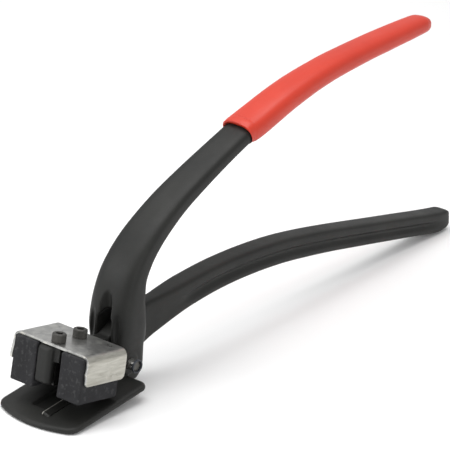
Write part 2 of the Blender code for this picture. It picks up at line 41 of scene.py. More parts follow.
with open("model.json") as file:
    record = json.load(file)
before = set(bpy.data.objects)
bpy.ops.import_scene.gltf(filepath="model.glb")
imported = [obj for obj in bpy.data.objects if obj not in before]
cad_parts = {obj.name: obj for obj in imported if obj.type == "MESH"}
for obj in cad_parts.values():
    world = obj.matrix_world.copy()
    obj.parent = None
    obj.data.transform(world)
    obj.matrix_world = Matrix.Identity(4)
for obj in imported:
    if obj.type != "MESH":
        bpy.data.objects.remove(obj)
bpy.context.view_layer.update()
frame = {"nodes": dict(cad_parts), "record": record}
JOINT = frame["record"]["behaviour"]["joints"][0]
PIVOT = Vector(JOINT["pos_m"])
FOOT_LEAN = -6.5
NOSE_LEAN = 10.0
DRAWN = Matrix.Translation((PIVOT.x, 0, 0))
FOOT = Matrix.Translation(PIVOT) @ Matrix.Rotation(math.radians(FOOT_LEAN), 4, "Y")
NOSE = Matrix.Translation(PIVOT) @ Matrix.Rotation(math.radians(NOSE_LEAN), 4, "Y")
FOOT_BODY = "foot_body"
NOSE_BODY = "nose_body"

# foot plate, in the foot's own frame (pivot at the origin, plate level)
FOOT_TOP = -10.1 * MM
FOOT_BOTTOM = -16.8 * MM
FOOT_HALF_WIDTH = 45.8 * MM
FOOT_FRONT = -106.0 * MM
FOOT_BULGE = 7.8 * MM
FOOT_BACK = -2.7 * MM
FOOT_FRONT_RADIUS = 12.0 * MM
FOOT_BACK_RADIUS = 9.0 * MM

# fork of the upper handle
SLOT_HALF = 8.5 * MM
SLOT_TOP = 74.0 * MM
SLOT_MOUTH = -11.0 * MM
SLOT_CLIMB = 0.2
BOSS_HALF = 21.2 * MM
BOSS_RADIUS = 10.6 * MM

# nose and bracket, in the nose's own frame (pivot at the origin, bracket level)
LUG_HALF = 7.1 * MM
LUG_RADIUS = 13 * MM
RAIL_BOTTOM = 9 * MM
RAIL_TOP = 23.3 * MM
WEB_FRONT = -87.2 * MM
WEB_NEAR = -2.5 * MM
WEB_FAR = 14.1 * MM
BRACKET_TOP = 26.1 * MM
BRACKET_HALF = 44.4 * MM
BRACKET_FRONT = -85.0 * MM
BRACKET_BACK = -34.4 * MM
BRACKET_DROP = 27.0 * MM
SHEET = 2.5 * MM
BEND = 7.2 * MM
SCREW_X = (-76.3 * MM, -48.7 * MM)
SCREW_HOLE = 4.4 * MM

# rubber pads
PAD_LOW = (-88.2 * MM, 14.5 * MM, -18.6 * MM)
PAD_HIGH = (-37.5 * MM, 41.0 * MM, 23.3 * MM)
PAD_EDGE = 1.7 * MM

# M10 pivot bolt and nut
HEX_CORNER = 16 * MM / math.sqrt(3)
NUT_BORE = 5.25 * MM
BOLT_END = -28.9 * MM

# upper handle bar: x, z, width along Y, thickness across the bar (mm)
UPPER_BAR = (
    (3.6, 9.5, 38.0, 26.0),
    (6.2, 18.0, 40.2, 37.2),
    (6.6, 29.0, 40.6, 39.2),
    (6.6, 38.0, 41.4, 39.6),
    (6.6, 49.0, 46.4, 39.8),
    (6.4, 62.0, 48.8, 38.0),
    (8.4, 84.0, 47.0, 32.2),
    (15.7, 105.8, 43.4, 26.2),
    (35.3, 128.3, 40.0, 22.4),
    (68.5, 150.7, 36.4, 19.2),
    (104.1, 167.5, 33.9, 17.4),
    (149.6, 185.7, 31.4, 15.8),
    (183.0, 197.2, 30.4, 15.6),
    (235.0, 211.8, 28.8, 15.2),
    (286.0, 220.9, 26.6, 14.6),
    (340.0, 225.5, 24.6, 14.0),
    (390.0, 227.6, 22.6, 13.2),
    (430.0, 228.6, 19.2, 12.0),
)

# lower handle bar: x, z, width along Y, depth of the bar, groove depth (mm)
LOWER_BAR = (
    (4.0, 33.0, 13.4, 20.0, 0.0),
    (22.0, 43.0, 13.8, 34.0, 0.0),
    (40.0, 50.0, 14.0, 36.0, 0.0),
    (60.0, 54.4, 17.6, 32.2, 0.0),
    (80.0, 58.3, 21.0, 28.6, 0.5),
    (98.0, 60.7, 22.0, 27.0, 2.4),
    (130.0, 63.1, 22.2, 25.9, 3.2),
    (163.0, 63.4, 22.3, 25.1, 3.2),
    (198.0, 61.8, 22.5, 24.6, 3.2),
    (232.0, 58.5, 22.5, 24.2, 3.2),
    (268.0, 53.0, 22.5, 23.7, 3.2),
    (304.0, 46.5, 22.3, 23.0, 3.2),
    (342.0, 38.8, 22.1, 22.5, 3.2),
    (380.0, 31.0, 22.0, 22.0, 3.2),
    (418.0, 23.2, 21.9, 21.7, 3.2),
    (452.0, 16.1, 21.8, 21.4, 2.8),
    (474.0, 11.9, 21.6, 21.2, 0.6),
    (486.5, 11.2, 19.6, 19.0, 0.0),
    (492.5, 11.4, 16.4, 15.4, 0.0),
)

# outside of the vinyl grip: x, z, width along Y, thickness (mm)
GRIP = (
    (168.0, 194.4, 34.2, 22.0),
    (172.4, 195.6, 35.2, 22.8),
    (183.2, 197.6, 36.8, 23.4),
    (235.0, 211.8, 34.7, 22.3),
    (286.0, 220.9, 31.8, 20.6),
    (340.0, 225.4, 29.8, 19.5),
    (390.0, 227.5, 27.8, 18.6),
    (430.0, 228.6, 24.8, 17.2),
    (439.0, 228.2, 22.6, 15.8),
    (444.6, 228.0, 18.4, 12.8),
    (447.6, 228.2, 11.6, 8.2),
)


# ---------------------------------------------------------------- mesh tools

def piece(name, bm, mat, body, smooth=True):
    """Named object from a bmesh, with one material, riding on a body."""
    bmesh.ops.recalc_face_normals(bm, faces=bm.faces)
    mesh = bpy.data.meshes.new(name)
    bm.to_mesh(mesh)
    bm.free()
    if smooth:
        mesh.polygons.foreach_set("use_smooth", [True] * len(mesh.polygons))
    if mat is not None:
        mesh.materials.append(mat)
    ob = bpy.data.objects.new(name, mesh)
    bpy.context.scene.collection.objects.link(ob)
    if body is not None:
        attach(ob, body)
    return ob


def skin(rings, caps=True, around=False):
    """Bmesh through equal rings of points; around=True joins the last ring to the first."""
    bm = bmesh.new()
    loops = [[bm.verts.new(p) for p in ring] for ring in rings]
    count = len(loops[0])
    pairs = list(zip(loops, loops[1:]))
    if around:
        pairs.append((loops[-1], loops[0]))
    for first, second in pairs:
        for i in range(count):
            j = (i + 1) % count
            bm.faces.new((first[i], first[j], second[j], second[i]))
    if caps and not around:
        bm.faces.new(loops[0])
        bm.faces.new(loops[-1])
    return bm


def prism_y(outline, y0, y1):
    return skin([[(x, y, z) for x, z in outline] for y in (y0, y1)])


def prism_x(outline, x0, x1):
    return skin([[(x, y, z) for y, z in outline] for x in (x0, x1)])


def block(x0, x1, y0, y1, z0, z1):
    return prism_y([(x0, z0), (x1, z0), (x1, z1), (x0, z1)], y0, y1)


def arc(cx, cy, radius, start, stop, steps):
    """Points on an arc, angles in degrees."""
    points = []
    for i in range(steps + 1):
        a = math.radians(start + (stop - start) * i / steps)
        points.append((cx + radius * math.cos(a), cy + radius * math.sin(a)))
    return points


def lathe(profile, axis="Z", segments=48):
    """Solid of revolution about an axis through the origin from (along, radius) points.

    A profile that starts and ends at radius 0 closes on the axis; any other is a ring.
    """
    ring_shaped = profile[0][1] > 0
    body = profile if ring_shaped else profile[1:-1]
    rings = []
    for i in range(segments):
        a = 2 * math.pi * i / segments
        ring = []
        for along, radius in body:
            u = radius * math.cos(a)
            v = radius * math.sin(a)
            ring.append({"Z": (u, v, along), "Y": (u, along, v)}[axis])
        rings.append(ring)
    if ring_shaped:
        return skin(rings, around=True)
    bm = bmesh.new()
    loops = [[bm.verts.new(p) for p in ring] for ring in rings]
    for first, second in zip(loops, loops[1:] + loops[:1]):
        for i in range(len(body) - 1):
            bm.faces.new((first[i], first[i + 1], second[i + 1], second[i]))
    for end in (0, -1):
        bm.faces.new([loop[end] for loop in loops])
    return bm


def moved(bm, matrix):
    bmesh.ops.transform(bm, matrix=matrix, verts=bm.verts)
    return bm


def shift(x=0.0, y=0.0, z=0.0):
    return Matrix.Translation((x, y, z))


def applied(ob):
    """Freeze an object's modifiers into its mesh."""
    graph = bpy.context.evaluated_depsgraph_get()
    mesh = bpy.data.meshes.new_from_object(ob.evaluated_get(graph))
    ob.modifiers.clear()
    ob.data = mesh
    return ob


def scratch(bm):
    return piece("scratch", bm, None, None, smooth=False)


def combined(bm, *steps):
    """Exact booleans on a bmesh, one for each (operation, other bmesh); returns a new bmesh."""
    ob = scratch(bm)
    for operation, other in steps:
        tool = scratch(other)
        mod = ob.modifiers.new("combine", "BOOLEAN")
        mod.operation = operation
        mod.solver = "EXACT"
        mod.object = tool
        applied(ob)
        bpy.data.objects.remove(tool, do_unlink=True)
    result = bmesh.new()
    result.from_mesh(ob.data)
    bpy.data.objects.remove(ob, do_unlink=True)
    return result


def cut(bm, *cutters):
    return combined(bm, *[("DIFFERENCE", cutter) for cutter in cutters])


def forged(name, solids, voxel, rounds, mat, body):
    """One skin over overlapping solids, with blended forging fillets."""
    whole = bmesh.new()
    for solid in solids:
        part = bpy.data.meshes.new("part")
        bmesh.ops.recalc_face_normals(solid, faces=solid.faces)
        solid.to_mesh(part)
        solid.free()
        whole.from_mesh(part)
    ob = piece(name, whole, mat, None)
    remesh = ob.modifiers.new("skin", "REMESH")
    remesh.mode = "VOXEL"
    remesh.voxel_size = voxel
    remesh.adaptivity = 0.0
    soften = ob.modifiers.new("soften", "SMOOTH")
    soften.factor = 0.5
    soften.iterations = rounds
    applied(ob)
    ob.data.polygons.foreach_set("use_smooth", [True] * len(ob.data.polygons))
    ob.data.materials.clear()
    ob.data.materials.append(mat)
    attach(ob, body)
    return ob


def edge_bevel(ob, width, segments=3, angle=35):
    mod = ob.modifiers.new("edge", "BEVEL")
    mod.width = width
    mod.segments = segments
    mod.limit_method = "ANGLE"
    mod.angle_limit = math.radians(angle)
    mod.harden_normals = False
    return ob


def spline(stations, steps):
    """Catmull-Rom through the stations, in metres."""
    rows = []
    last = len(stations) - 1
    for i in range(last):
        p0 = stations[max(i - 1, 0)]
        p1 = stations[i]
        p2 = stations[i + 1]
        p3 = stations[min(i + 2, last)]
        for k in range(steps):
            t = k / steps
            rows.append([0.5 * (2 * b + (c - a) * t + (2 * a - 5 * b + 4 * c - d) * t * t
                                + (3 * b - a - 3 * c + d) * t ** 3) * MM
                         for a, b, c, d in zip(p0, p1, p2, p3)])
    rows.append([value * MM for value in stations[-1]])
    return rows


def rings_along(rows, section):
    """Rings of a bar that follows the rows (x, z, ...) in the XZ plane."""
    rings = []
    for i, row in enumerate(rows):
        before = rows[max(i - 1, 0)]
        after = rows[min(i + 1, len(rows) - 1)]
        along = Vector((after[0] - before[0], 0, after[1] - before[1])).normalized()
        across = Vector((-along.z, 0, along.x))
        centre = Vector((row[0], 0, row[1]))
        rings.append([centre + Vector((0, a, 0)) + across * b for a, b in section(row)])
    return rings


def oval(width, thick, power, count=64):
    """Rounded-rectangle outline."""
    points = []
    for i in range(count):
        a = 2 * math.pi * (i + 0.5) / count
        c = math.cos(a)
        s = math.sin(a)
        points.append((math.copysign(abs(c) ** (2 / power), c) * width / 2,
                       math.copysign(abs(s) ** (2 / power), s) * thick / 2))
    return points


def step(x, low, high):
    """Smooth 0 to 1 between low and high."""
    t = min(max((x - low) / (high - low), 0.0), 1.0)
    return t * t * (3 - 2 * t)


def grooved(row):
    """Bar section with a long forged groove down each side."""
    half = row[2] / 2
    deep = row[3] / 2
    groove = row[4]
    right = []
    for i in range(33):
        level = math.cos(math.pi * i / 32)
        bulge = (1 - abs(level) ** 9) ** (1 / 5)
        hollow = (1 - step(level, 0.06, 0.26)) * step(level, -0.62, -0.1)
        right.append(((half * bulge - groove * hollow), deep * level))
    return right + [(-a, b) for a, b in reversed(right[1:-1])]


# ---------------------------------------------------------------- materials

class Shader:
    """A Principled material with helpers for its node network."""

    def __init__(self, name, **values):
        self.mat = bpy.data.materials.new(name)
        self.mat.use_nodes = True
        self.tree = self.mat.node_tree
        self.bsdf = self.tree.nodes["Principled BSDF"]
        self.coord = self.tree.nodes.new("ShaderNodeTexCoord").outputs["Object"]
        for key, value in values.items():
            self.bsdf.inputs[key.replace("_", " ")].default_value = value

    def node(self, kind, **settings):
        node = self.tree.nodes.new("ShaderNode" + kind)
        for key, value in settings.items():
            setattr(node, key, value)
        return node

    def link(self, out, socket):
        self.tree.links.new(out, socket)

    def stretched(self, grain, lean=0.0):
        """Coordinates leaned about Y, with detail drawn out along X by the grain factor."""
        node = self.node("Mapping", vector_type="TEXTURE")
        node.inputs["Rotation"].default_value = (0.0, math.radians(lean), 0.0)
        node.inputs["Scale"].default_value = (grain, 1.0, 1.0)
        self.link(self.coord, node.inputs["Vector"])
        return node.outputs["Vector"]

    def noise(self, scale, detail=3.0, rough=0.55, vector=None, distortion=0.0):
        node = self.node("TexNoise")
        node.inputs["Scale"].default_value = scale
        node.inputs["Detail"].default_value = detail
        node.inputs["Roughness"].default_value = rough
        node.inputs["Distortion"].default_value = distortion
        self.link(vector or self.coord, node.inputs["Vector"])
        return node.outputs["Fac"]

    def ramp(self, fac, *stops):
        node = self.node("ValToRGB")
        elements = node.color_ramp.elements
        while len(elements) < len(stops):
            elements.new(0.5)
        for element, (place, colour) in zip(elements, stops):
            element.position = place
            shade = colour if isinstance(colour, tuple) else (colour, colour, colour)
            element.color = (*shade, 1.0)
        self.link(fac, node.inputs["Fac"])
        return node.outputs["Color"]

    def mix(self, fac, first, second, blend="MIX"):
        node = self.node("Mix", data_type="RGBA", blend_type=blend)
        for value, socket in ((fac, node.inputs[0]), (first, node.inputs[6]), (second, node.inputs[7])):
            if isinstance(value, tuple):
                socket.default_value = (*value, 1.0)
            elif isinstance(value, (int, float)):
                socket.default_value = value
            else:
                self.link(value, socket)
        return node.outputs[2]

    def math(self, operation, first, second):
        node = self.node("Math", operation=operation)
        for value, socket in ((first, node.inputs[0]), (second, node.inputs[1])):
            if isinstance(value, (int, float)):
                socket.default_value = value
            else:
                self.link(value, socket)
        return node.outputs[0]

    def colour(self, out):
        self.link(out, self.bsdf.inputs["Base Color"])

    def rough(self, fac, low, high):
        node = self.node("MapRange")
        node.inputs["To Min"].default_value = low
        node.inputs["To Max"].default_value = high
        self.link(fac, node.inputs["Value"])
        self.link(node.outputs["Result"], self.bsdf.inputs["Roughness"])

    def bump(self, *layers):
        """Layers of (height output, strength, distance in metres)."""
        normal = None
        for height, strength, distance in layers:
            node = self.node("Bump")
            node.inputs["Strength"].default_value = strength
            node.inputs["Distance"].default_value = distance
            self.link(height, node.inputs["Height"])
            if normal is not None:
                self.link(normal, node.inputs["Normal"])
            normal = node.outputs["Normal"]
        self.link(normal, self.bsdf.inputs["Normal"])


def edge_mask(sh, low, high):
    """Bright on convex edges, from the mesh's pointiness."""
    geometry = sh.node("NewGeometry")
    return sh.ramp(geometry.outputs["Pointiness"], (low, 0.0), (high, 1.0))


def forged_black():
    """Thin semi-matte black over a slightly uneven forging, with dust specks and rubbed edges."""
    sh = Shader("forged_black", Specular_IOR_Level=0.30)
    cloud = sh.noise(16.0, 4.0, 0.6)
    grain = sh.noise(750.0, 3.0, 0.7)
    fine = sh.noise(2600.0, 2.0, 0.6)
    base = sh.ramp(cloud, (0.3, (0.009, 0.0095, 0.009)), (0.7, (0.0165, 0.0165, 0.0145)))
    speck = sh.ramp(grain, (0.62, 0.0), (0.74, 1.0))
    dusty = sh.mix(sh.math("MULTIPLY", speck, 0.16), base, (0.10, 0.098, 0.090))
    rubbed = sh.math("MULTIPLY", edge_mask(sh, 0.52, 0.60), sh.ramp(sh.noise(120.0), (0.4, 0.0), (0.7, 0.6)))
    sh.colour(sh.mix(rubbed, dusty, (0.075, 0.073, 0.068)))
    sh.rough(sh.noise(60.0, 5.0, 0.7), 0.38, 0.62)
    sh.bump((cloud, 0.25, 0.0016), (grain, 0.35, 0.00016), (fine, 0.2, 0.00006))
    return sh.mat


def zinc_sheet():
    """Zinc-plated sheet: mottled top, brushed streaks along the bends, stains and bright wear."""
    sh = Shader("zinc_sheet_worn", Metallic=0.9)
    mottled = sh.noise(130.0, 6.0, 0.62, distortion=0.5)
    flakes = sh.noise(520.0, 3.0, 0.6)
    streak = sh.noise(300.0, 5.0, 0.65, vector=sh.stretched(7.0, 10.0), distortion=0.4)
    hair = sh.noise(1500.0, 3.0, 0.6, vector=sh.stretched(14.0, 10.0))
    cool = sh.ramp(mottled, (0.30, (0.30, 0.305, 0.295)), (0.5, (0.42, 0.42, 0.41)),
                   (0.70, (0.55, 0.55, 0.52)))
    warm = sh.ramp(streak, (0.28, (0.29, 0.28, 0.24)), (0.5, (0.42, 0.41, 0.365)),
                   (0.72, (0.53, 0.52, 0.47)))
    split = sh.node("SeparateXYZ")
    sh.link(sh.node("NewGeometry").outputs["Normal"], split.inputs["Vector"])
    side = sh.math("ABSOLUTE", split.outputs["Y"], 0.0)
    plate = sh.mix(sh.ramp(side, (0.25, 0.0), (0.7, 1.0)), cool, warm)
    stain = sh.ramp(sh.noise(48.0, 5.0, 0.65, distortion=1.2), (0.58, 0.0), (0.76, 0.45))
    stained = sh.mix(stain, plate, (0.17, 0.155, 0.12))
    scratched = sh.mix(sh.ramp(hair, (0.62, 0.0), (0.76, 0.35)), stained, (0.62, 0.61, 0.57))
    edge = sh.math("MULTIPLY", edge_mask(sh, 0.53, 0.60), 0.6)
    sh.colour(sh.mix(edge, scratched, (0.70, 0.68, 0.62)))
    sh.rough(mottled, 0.20, 0.42)
    sh.bump((mottled, 0.16, 0.0003), (hair, 0.2, 0.00004), (flakes, 0.15, 0.00008))
    return sh.mat


def zinc_bright():
    """Zinc-plated fastener with faint machining rings and handling marks."""
    sh = Shader("zinc_bright", Metallic=0.95)
    tarnish = sh.noise(260.0, 5.0, 0.65)
    fine = sh.noise(1500.0, 3.0, 0.6)
    sh.colour(sh.ramp(tarnish, (0.3, (0.42, 0.41, 0.38)), (0.55, (0.68, 0.67, 0.64)),
                      (0.75, (0.80, 0.79, 0.76))))
    sh.rough(tarnish, 0.16, 0.42)
    sh.bump((fine, 0.2, 0.00005), (tarnish, 0.15, 0.0001))
    return sh.mat


def black_oxide():
    """Oiled black-oxide screw, edges rubbed to grey."""
    sh = Shader("black_oxide", Metallic=0.55)
    grime = sh.noise(340.0, 4.0, 0.6)
    base = sh.ramp(grime, (0.35, (0.022, 0.021, 0.020)), (0.65, (0.050, 0.048, 0.044)))
    worn = sh.math("MULTIPLY", edge_mask(sh, 0.52, 0.60), 0.5)
    sh.colour(sh.mix(worn, base, (0.17, 0.165, 0.15)))
    sh.rough(grime, 0.34, 0.58)
    sh.bump((sh.noise(1800.0, 3.0, 0.6), 0.25, 0.00006), (grime, 0.15, 0.0001))
    return sh.mat


def blade_steel_painted_dark():
    """Hardened blade steel, ground along its length, painted nearly black as the shade between the pads."""
    sh = Shader("blade_steel_painted_dark", Metallic=0.85)
    lines = sh.noise(240.0, 4.0, 0.6, vector=sh.stretched(12.0))
    darker_patches = sh.noise(90.0, 4.0, 0.6)
    # tone and the darker patches are painted shade: ground steel drawn nearly black for the shadow between
    # the pads
    tone = sh.ramp(lines, (0.3, (0.035, 0.035, 0.035)), (0.7, (0.075, 0.075, 0.072)))
    sh.colour(sh.mix(sh.ramp(darker_patches, (0.4, 0.0), (0.7, 0.6)), tone, (0.025, 0.024, 0.022)))
    sh.rough(lines, 0.28, 0.5)
    sh.bump((lines, 0.2, 0.00005), (darker_patches, 0.1, 0.0002))
    return sh.mat


def shear_steel_wear_and_highlight():
    """Blackened insert; the bright band along its shear edge is worn ground steel plus a painted highlight
    of the edge bevel.
    """
    sh = Shader("shear_steel_wear_and_highlight", Metallic=0.4, Specular_IOR_Level=0.3)
    lines = sh.noise(240.0, 4.0, 0.6, vector=sh.stretched(12.0))
    grain = sh.noise(750.0, 3.0, 0.7)
    split = sh.node("SeparateXYZ")
    sh.link(sh.coord, split.inputs["Vector"])
    wander = sh.math("MULTIPLY", grain, 0.0008)
    across = sh.math("ADD", split.outputs["Y"], wander)
    # mask of the band along the shear edge: worn bright steel plus a painted highlight of the bevel
    wear_and_highlight_band = sh.node("MapRange")
    sh.link(across, wear_and_highlight_band.inputs["Value"])
    wear_and_highlight_band.inputs["From Min"].default_value = -0.0040
    wear_and_highlight_band.inputs["From Max"].default_value = -0.0033
    dark = sh.ramp(grain, (0.4, (0.012, 0.012, 0.011)), (0.7, (0.024, 0.024, 0.022)))
    # the bright colour here is worn steel plus a painted highlight of the bevelled edge
    wear_and_highlight = sh.ramp(lines, (0.3, (0.22, 0.21, 0.19)), (0.7, (0.42, 0.41, 0.38)))
    sh.colour(sh.mix(wear_and_highlight_band.outputs["Result"], dark, wear_and_highlight))
    sh.rough(lines, 0.3, 0.5)
    sh.bump((lines, 0.2, 0.00005), (grain, 0.3, 0.00012))
    return sh.mat


def rubber():
    """Moulded black rubber, dusty bloom on the faces and a fine open grain."""
    sh = Shader("moulded_rubber", Specular_IOR_Level=0.25)
    bloom = sh.noise(55.0, 5.0, 0.65)
    grain = sh.noise(1300.0, 3.0, 0.65)
    pits = sh.noise(260.0, 4.0, 0.6)
    base = sh.ramp(bloom, (0.3, (0.013, 0.013, 0.0145)), (0.7, (0.025, 0.025, 0.027)))
    dust = sh.math("MULTIPLY", sh.ramp(pits, (0.54, 0.0), (0.66, 1.0)), 0.45)
    sh.colour(sh.mix(dust, base, (0.07, 0.07, 0.071)))
    sh.rough(bloom, 0.62, 0.88)
    sh.bump((pits, 0.25, 0.00025), (grain, 0.35, 0.00012))
    return sh.mat


def red_vinyl():
    """Dipped vinyl: satin skin, slight orange peel and cloudy colour."""
    sh = Shader("red_vinyl_dip", Specular_IOR_Level=0.5)
    cloud = sh.noise(14.0, 4.0, 0.6)
    peel = sh.noise(330.0, 3.0, 0.5)
    dust = sh.noise(1100.0, 2.0, 0.6)
    base = sh.ramp(cloud, (0.3, (0.52, 0.028, 0.010)), (0.7, (0.60, 0.038, 0.014)))
    scuff = sh.math("MULTIPLY", sh.ramp(dust, (0.66, 0.0), (0.78, 1.0)), 0.12)
    sh.colour(sh.mix(scuff, base, (0.72, 0.20, 0.15)))
    sh.rough(sh.noise(45.0, 4.0, 0.6), 0.30, 0.46)
    sh.bump((cloud, 0.08, 0.001), (peel, 0.14, 0.0001))
    sh.bsdf.inputs["Subsurface Weight"].default_value = 0.06
    sh.bsdf.inputs["Subsurface Radius"].default_value = (0.004, 0.0012, 0.0008)
    return sh.mat


def bronze():
    """Plain sintered bronze for the bushing and thrust washers."""
    sh = Shader("sintered_bronze", Metallic=0.9)
    tone = sh.noise(300.0, 4.0, 0.6)
    sh.colour(sh.ramp(tone, (0.3, (0.28, 0.17, 0.08)), (0.7, (0.47, 0.31, 0.15))))
    sh.rough(tone, 0.35, 0.6)
    sh.bump((sh.noise(1600.0, 2.0, 0.6), 0.25, 0.00005))
    return sh.mat


def nylon():
    """Dark nylon locking ring."""
    sh = Shader("nylon_insert", Specular_IOR_Level=0.4)
    tone = sh.noise(500.0, 3.0, 0.6)
    sh.colour(sh.ramp(tone, (0.3, (0.035, 0.040, 0.050)), (0.7, (0.06, 0.065, 0.075))))
    sh.rough(tone, 0.4, 0.6)
    sh.bump((tone, 0.2, 0.0001))
    return sh.mat


def floor_material():
    """Pale studio paper."""
    sh = Shader("studio_paper", Roughness=0.9)
    tone = sh.noise(3.0, 2.0, 0.5)
    sh.colour(sh.ramp(tone, (0.3, (0.92, 0.92, 0.92)), (0.7, (0.95, 0.95, 0.95))))
    return sh.mat


# ---------------------------------------------------------------- forgings

def foot_outline(inset):
    """Plan of the foot plate with its convex front edge, pivot at the origin."""
    half = FOOT_HALF_WIDTH - inset
    front = FOOT_FRONT + inset
    back = FOOT_BACK - inset
    rf = FOOT_FRONT_RADIUS - inset
    rb = FOOT_BACK_RADIUS - inset
    points = arc(back - rb, -half + rb, rb, 0, -90, 12)
    points += arc(front + rf, -half + rf, rf, -90, -165, 16)
    span = half - 0.74 * rf
    for i in range(1, 40):
        y = -span + 2 * span * i / 40
        points.append((front + 0.03 * rf - FOOT_BULGE * (1 - (y / span) ** 2), y))
    points += arc(front + rf, half - rf, rf, 165, 90, 16)
    points += arc(back - rb, half - rb, rb, 90, 0, 12)
    return points


def foot_plate():
    """Foot plate with a rolled top edge, a relief for the upper blade and a pocket for the insert."""
    levels = (
        (FOOT_BOTTOM, 4.6 * MM),
        (FOOT_BOTTOM + 2.0 * MM, 0.4 * MM),
        (FOOT_TOP - 2.6 * MM, 0.0),
        (FOOT_TOP - 1.1 * MM, 0.6 * MM),
        (FOOT_TOP - 0.3 * MM, 1.9 * MM),
        (FOOT_TOP, 3.6 * MM),
    )
    plate = moved(skin([[(x, y, z) for x, y in foot_outline(inset)] for z, inset in levels]), FOOT)
    relief = block(-89.7 * MM, -36.0 * MM, -3.1 * MM, 15.3 * MM, FOOT_TOP - 2.4 * MM, FOOT_TOP + 5 * MM)
    pocket = block(-97.3 * MM, -39.7 * MM, -11.4 * MM, -2.8 * MM, FOOT_TOP - 3.6 * MM, FOOT_TOP + 5 * MM)
    x = PIVOT.x
    bench = block(x - 0.15, x + 0.05, -0.07, 0.07, -0.02, 0.0)
    notch = block(x - 17.5 * MM, x + 45 * MM, -SLOT_HALF, SLOT_HALF, -5 * MM, 20 * MM)
    return cut(plate, moved(relief, FOOT), moved(pocket, FOOT), bench, notch)


def slot_cutter():
    """Arched slot through the fork, its roof climbing to the back."""
    rings = []
    for x in (-45 * MM, 45 * MM):
        crown = SLOT_TOP + SLOT_CLIMB * (x - SLOT_MOUTH) - SLOT_HALF
        arch = [(-SLOT_HALF, 15.5 * MM), (SLOT_HALF, 15.5 * MM)]
        arch += arc(0, crown, SLOT_HALF, 0, 180, 20)
        rings.append([(x, y, z) for y, z in arch])
    return moved(skin(rings), DRAWN)


def hollow(centre, radii):
    """Smooth forging hollow: an ellipsoid cutter."""
    bm = bmesh.new()
    bmesh.ops.create_uvsphere(bm, u_segments=40, v_segments=30, radius=1.0)
    bmesh.ops.scale(bm, vec=radii, verts=bm.verts)
    return moved(moved(bm, shift(*centre)), DRAWN)


def upper_forging(mat):
    """Bar, fork, bosses and foot of the upper handle."""
    bar = skin(rings_along(spline(UPPER_BAR, 10), lambda row: oval(row[2], row[3], 3.4, 72)))
    throat = hollow((-10.5 * MM, 0, 77 * MM), (7 * MM, 6.8 * MM, 27 * MM))
    flutes = [hollow((-14.5 * MM, side * 14.5 * MM, 66 * MM), (5.6 * MM, 3.6 * MM, 24 * MM))
              for side in (-1, 1)]
    bar = cut(moved(bar, DRAWN), slot_cutter(), throat, *flutes)
    gusset = [(-33.0 * MM, FOOT_TOP - 3 * MM), (7 * MM, FOOT_TOP - 3 * MM), (7 * MM, 8 * MM),
              (-10 * MM, 6 * MM), (-20 * MM, -3 * MM), (-33.0 * MM, FOOT_TOP + 0.5 * MM)]
    web = cut(moved(prism_y(gusset, -19.1 * MM, 19.1 * MM), FOOT), slot_cutter())
    chamfer = 0.6 * MM
    rim = BOSS_RADIUS - chamfer
    boss = lathe([(-BOSS_HALF, 0), (-BOSS_HALF, rim), (-BOSS_HALF + chamfer, BOSS_RADIUS),
                  (BOSS_HALF - chamfer, BOSS_RADIUS), (BOSS_HALF, rim), (BOSS_HALF, 0)], "Y", 72)
    boss = cut(moved(boss, Matrix.Translation(PIVOT)), slot_cutter())
    return forged("upper_handle_forging", [foot_plate(), web, boss, bar], 0.9 * MM, 7, mat,
                  FOOT_BODY)


def lower_forging(mat):
    """Bar, lug and nose of the lower handle."""
    bar = moved(skin(rings_along(spline(LOWER_BAR, 12), grooved)), DRAWN)
    x = PIVOT.x

    def nose(px, pz):
        p = NOSE @ Vector((px * MM, 0, pz * MM))
        return (p.x, p.z)

    outline = [nose(-40, 10.5), nose(-40, 22.7), nose(-17, 22.7), (x - 7 * MM, 55 * MM),
               (x + 4 * MM, 60 * MM), (x + 24 * MM, 50 * MM), (x + 24 * MM, 36 * MM)]
    outline += arc(x, PIVOT.z, LUG_RADIUS, -20, -150, 24)
    outline += [nose(-19, -4), nose(-28, 4)]
    lug = prism_y(outline, -LUG_HALF, LUG_HALF)
    rail = moved(block(-82 * MM, -30 * MM, -8 * MM, 13.7 * MM, RAIL_BOTTOM, RAIL_TOP), NOSE)
    levels = ((-12.0, 1.4), (-10.8, 0.3), (18.0, 0.0), (20.6, 0.9), (22.6, 3.0))
    rings = []
    for height, inset in levels:
        x0 = WEB_FRONT + inset * MM
        plan = [(-40 * MM, 4.8 * MM), (-40 * MM, WEB_FAR)]
        plan += arc(x0 + 2.2 * MM, 11.9 * MM, 2.2 * MM, 90, 180, 8)
        plan += arc(x0 + 5.0 * MM, WEB_NEAR + 5.0 * MM, 5.0 * MM, 180, 270, 12)
        plan += [(-79.8 * MM, WEB_NEAR), (-79.8 * MM, 4.8 * MM)]
        rings.append([(px, py, height * MM) for px, py in plan])
    web = moved(skin(rings), NOSE)
    return forged("lower_handle_forging", [bar, lug, rail, web], 0.8 * MM, 6, mat,
                  NOSE_BODY)


# ---------------------------------------------------------------- grip

